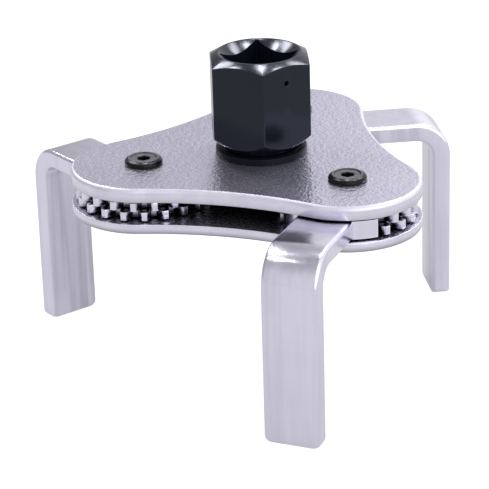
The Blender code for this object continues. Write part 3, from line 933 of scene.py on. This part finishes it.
def sun_gears():
    """Turned so that their gaps meet the legs' teeth."""
    planet_pitch, sun_pitch = 360.0 / PLANET_TEETH, 360.0 / SUN_TEETH
    planet_turn = (ARM_REST_DEG + 180.0) % planet_pitch - 180.0 % planet_pitch
    phase = -planet_turn * PLANET_TEETH / SUN_TEETH + sun_pitch / 2
    low, high = UPPER_ROW
    sun_gear("sun_gear_lower_wheel", *LOWER_ROW, phase, "sun_gear_lower")
    sun_gear("sun_gear_upper_wheel", low + 0.1, high, phase + sun_pitch / 2, "sun_gear_upper")


drive_hub()
hub_washers()
retaining_ring()
sun_gears()


# ==========================================================================================
# pivot hardware
# ==========================================================================================
SCREW_HEAD_R, SHANK_R = 4.35, 2.5
SOCKET_HALF = 1.3
NUT_APOTHEM, NUT_FACE_R = 4.0, 3.9


def pivot_screw(k):
    """Dished head with a hex socket."""
    node = "pivot_screw_%d" % (k + 1)
    end = z_range(node)[0]
    seat, top = TOP_Z[1] + SEAT_GAP, TOP_Z[1] + 1.42
    dish = top - 0.24
    angles = azimuths(3.0, (6, 15.0, 3.0, 9))
    # from the lower end up to the dish: radius, z, rounding
    outer = rounded_path([
        (0.3, end, 0), (2.05, end, 0.1), (SHANK_R, end + 0.45, 0.15), (SHANK_R, seat, 0.1),
        (SCREW_HEAD_R - 0.08, seat, 0.10), (SCREW_HEAD_R, seat + 0.55, 0.25),
        (SCREW_HEAD_R - 0.25, seat + 1.05, 0.35), (SCREW_HEAD_R - 0.85, top, 0.18),
        (SCREW_HEAD_R - 1.30, top, 0.12), (SCREW_HEAD_R - 1.50, top - 0.20, 0.12),
        (2.30, dish, 0),
    ], 3)
    sockets = []
    for azimuth in angles:
        hex_r = polygon_radius(azimuth, 6, SOCKET_HALF, 0.12, 15.0)
        sockets.append(rounded_path([
            (2.25, dish, 0), (hex_r + 0.2, dish, 0.06), (hex_r, top - 0.44, 0.06),
            (hex_r, top - 1.5, 0.1), (0.25, top - 1.75, 0),
        ], 2))
    rings = turn_rings(angles, [outer] * len(angles)) + turn_rings(angles, sockets)
    screw = skin("pivot_screw_bolt_%d" % (k + 1), rings, 38.0)
    screw.data.transform(to_pivot(k) @ turn_z(120.0 * k))
    dress(screw, SCREW_BLACK, "housing", node)


def pivot_nut(k):
    """Hex nut, chamfered below."""
    node = "pivot_nut_%d" % (k + 1)
    low, high = z_range(node)[0], BOTTOM_Z[0] - SEAT_GAP
    bore_r = 2.62
    angles = azimuths(3.0, (6, 0.0, 4.0, 11))
    profiles = []
    for azimuth in angles:
        hex_r = polygon_radius(azimuth, 6, NUT_APOTHEM, 0.15, 0.0)
        chamfer = max(hex_r - NUT_FACE_R, 0.0) * CHAMFER_SLOPE
        profiles.append(rounded_path([
            (bore_r, high, 0.05), (hex_r, high, 0.15), (hex_r, low + chamfer, 0.12),
            (NUT_FACE_R, low, 0.15), (3.05, low, 0.08), (bore_r, low + 0.43, 0.05),
        ], 3, closed=True))
    rings = turn_rings(angles, profiles)
    nut = skin("pivot_nut_hex_%d" % (k + 1), rings, 38.0, closed=True)
    nut.data.transform(to_pivot(k) @ turn_z(120.0 * k))
    dress(nut, NUT_ZINC, "housing", node)


def pivot_sleeve(k):
    node = "pivot_sleeve_%d" % (k + 1)
    sleeve = washer(
        "pivot_sleeve_tube_%d" % (k + 1), PIVOT_HOLE_R, 4.0, *z_range(node),
        roundings=(0.15,) * 4, steps=3, count=72)
    sleeve.data.transform(to_pivot(k))
    dress(sleeve, SLEEVE_STEEL, "housing", node)


for k in range(3):
    pivot_screw(k)
    pivot_nut(k)
    pivot_sleeve(k)


# ==========================================================================================
# floor
# ==========================================================================================
def floor_material():
    """Pale and faintly glowing; clear to a camera below it, so the underside stays in view."""
    mat = Material("pale_floor")
    cloud = mat.noise(scale=3.0, detail=2.0, roughness=0.5)
    grain = mat.noise(scale=600.0, detail=2.0, roughness=0.55)
    to_camera = mat.node("LightPath").outputs["Is Camera Ray"]
    material = mat.finish({
        "Base Color": mat.ramp(
            cloud, over=(0.3, 0.7), colours=((0.220, 0.220, 0.223), (0.235, 0.235, 0.238))),
        "Emission Color": (1.0, 1.0, 1.0),
        "Emission Strength": mat.plus(mat.times(to_camera, 0.50), 0.44),
        "Roughness": 0.75,
        "Specular IOR Level": 0.2,
        "Normal": mat.bump(grain, distance=0.05, strength=0.1),
    })
    from_below = mat.node("NewGeometry").outputs["Backfacing"]
    clear = mat.node("BsdfTransparent")
    pick = mat.node("MixShader", {
        "Fac": mat.times(from_below, to_camera),
        1: mat.surface.outputs["BSDF"],
        2: clear.outputs["BSDF"],
    })
    mat.feed(mat.tree.nodes["Material Output"].inputs["Surface"], pick.outputs["Shader"])
    return material


def floor():
    bm = bmesh.new()
    bmesh.ops.create_grid(bm, x_segments=24, y_segments=24, size=4.0)
    obj = to_object("floor", bm, recalc=False)
    obj.location.z = (FOOT_Z - 0.05) * MM
    obj.data.materials.append(floor_material())


floor()


# ==========================================================================================
# camera (metres)
# ==========================================================================================
CAM_AZIMUTH = math.radians(46.76)       # of the camera's right-hand side
CAM_ELEVATION = math.radians(21.342)
CAM_DISTANCE = 0.5574
CAM_ROLL = 0.0305                       # radians
CAM_AIM = Vector((0.0, 0.0, 0.0061))
LOOK_LEFT, LOOK_DOWN = 0.00453, 0.01423     # from the aim to the middle of the view

RIGHT = Vector((math.cos(CAM_AZIMUTH), math.sin(CAM_AZIMUTH), 0))
BACK = Vector((                         # from the aim towards the camera
    math.sin(CAM_AZIMUTH) * math.cos(CAM_ELEVATION),
    -math.cos(CAM_AZIMUTH) * math.cos(CAM_ELEVATION),
    math.sin(CAM_ELEVATION)))
LEVEL_BACK = Vector((BACK.x, BACK.y, 0)).normalized()


def camera():
    data = bpy.data.cameras.new("camera")
    cam = bpy.data.objects.new("camera", data)
    bpy.context.scene.collection.objects.link(cam)
    data.sensor_width = 36.0
    data.lens = 177.83
    data.clip_start, data.clip_end = 0.01, 20.0
    location = CAM_AIM + BACK * CAM_DISTANCE
    look = CAM_AIM - RIGHT * LOOK_LEFT - BACK.cross(RIGHT) * LOOK_DOWN
    forward = (look - location).normalized()
    right = forward.cross(Vector((0, 0, 1))).normalized()
    up = right.cross(forward)
    facing = Matrix((right, up, -forward)).transposed().to_4x4()
    cam.matrix_world = (
        Matrix.Translation(location) @ facing @ Matrix.Rotation(-CAM_ROLL, 4, "Z"))
    bpy.context.scene.camera = cam


camera()


# ==========================================================================================
# light (metres, watts)
# ==========================================================================================
def world():
    """White to the eye; as light, a studio brighter to the right and behind the camera."""
    studio = bpy.data.worlds.new("studio")
    bpy.context.scene.world = studio
    studio.use_nodes = True
    studio.node_tree.nodes.clear()
    graph = Graph(studio.node_tree)
    direction = graph.node("TexCoord").outputs["Generated"]

    def change(axis, over, to):
        """Strength that changes smoothly along an axis."""
        along = graph.dot(direction, axis)
        return graph.span(along, over=over, to=to, interpolation_type="SMOOTHSTEP")

    side = change(RIGHT, over=(-0.18, 0.26), to=(0.41, 1.03))
    high = change((0, 0, 1), over=(0.45, 0.85), to=(1.0, 0.85))
    behind = change(LEVEL_BACK, over=(0.0, 0.8), to=(1.0, 1.75))
    lit = graph.node("Background", {
        "Color": (0.985, 0.985, 1.0),
        "Strength": graph.times(graph.times(side, high), behind),
    })
    seen = graph.node("Background", {"Color": (1, 1, 1), "Strength": 1.0})
    pick = graph.node("MixShader", {
        "Fac": graph.node("LightPath").outputs["Is Camera Ray"],
        1: lit.outputs[0],
        2: seen.outputs[0],
    })
    graph.node("OutputWorld", {"Surface": pick.outputs[0]})


def collect(name, objects):
    collection = bpy.data.collections.new(name)
    for key in objects:
        collection.objects.link(bpy.data.objects[key])
    return collection


def softbox(name, right, up, back, size, power, only=None):
    """Area light aimed at the origin, placed from it to the right, up and to the camera."""
    location = RIGHT * right + Vector((0, 0, up)) + LEVEL_BACK * back
    data = bpy.data.lights.new(name, "AREA")
    data.shape = "RECTANGLE"
    data.size, data.size_y = size
    data.energy = power
    obj = bpy.data.objects.new(name, data)
    obj.location = location
    obj.rotation_mode = "QUATERNION"
    obj.rotation_quaternion = (-location).to_track_quat("-Z", "Y")
    bpy.context.scene.collection.objects.link(obj)
    if only is not None:
        obj.light_linking.receiver_collection = only


def lights():
    black_parts = collect(
        "black_parts",
        ["drive_hub_body", "hub_washer_ring"] + ["pivot_screw_bolt_%d" % k for k in (1, 2, 3)])
    leg_parts = collect("leg_parts", ["leg_bar_%d" % k for k in (1, 2, 3)])
    # the overhead lamps make the hub's highlights; the plates would only mirror them to white
    # name, right, up, back, size, power
    for name, right, up, back, size, power in (
            ("key_top", 0.02, 0.75, -0.12, 0.11, 2.2),
            ("key_right", 0.29, 0.75, -0.08, 0.12, 2.2),
            ("key_left", -0.37, 0.75, -0.17, 0.12, 2.4)):
        softbox(name, right, up, back, (size, size), power, black_parts)
        softbox(name + "_legs", right, up, back, (size, size), power * 0.45, leg_parts)
    for lamp in (
            ("back_left", -0.34, 0.53, -0.34, (0.14, 0.20), 1.7),
            ("back_right", 0.36, 0.51, -0.29, (0.14, 0.18), 1.2),
            ("star", -0.33, 0.60, 0.13, (0.05, 0.05), 0.12)):
        softbox(*lamp)


world()
lights()

view = bpy.context.scene.view_settings
view.view_transform = "Standard"
view.look = "None"
view.exposure = 0.0
view.gamma = 1.0
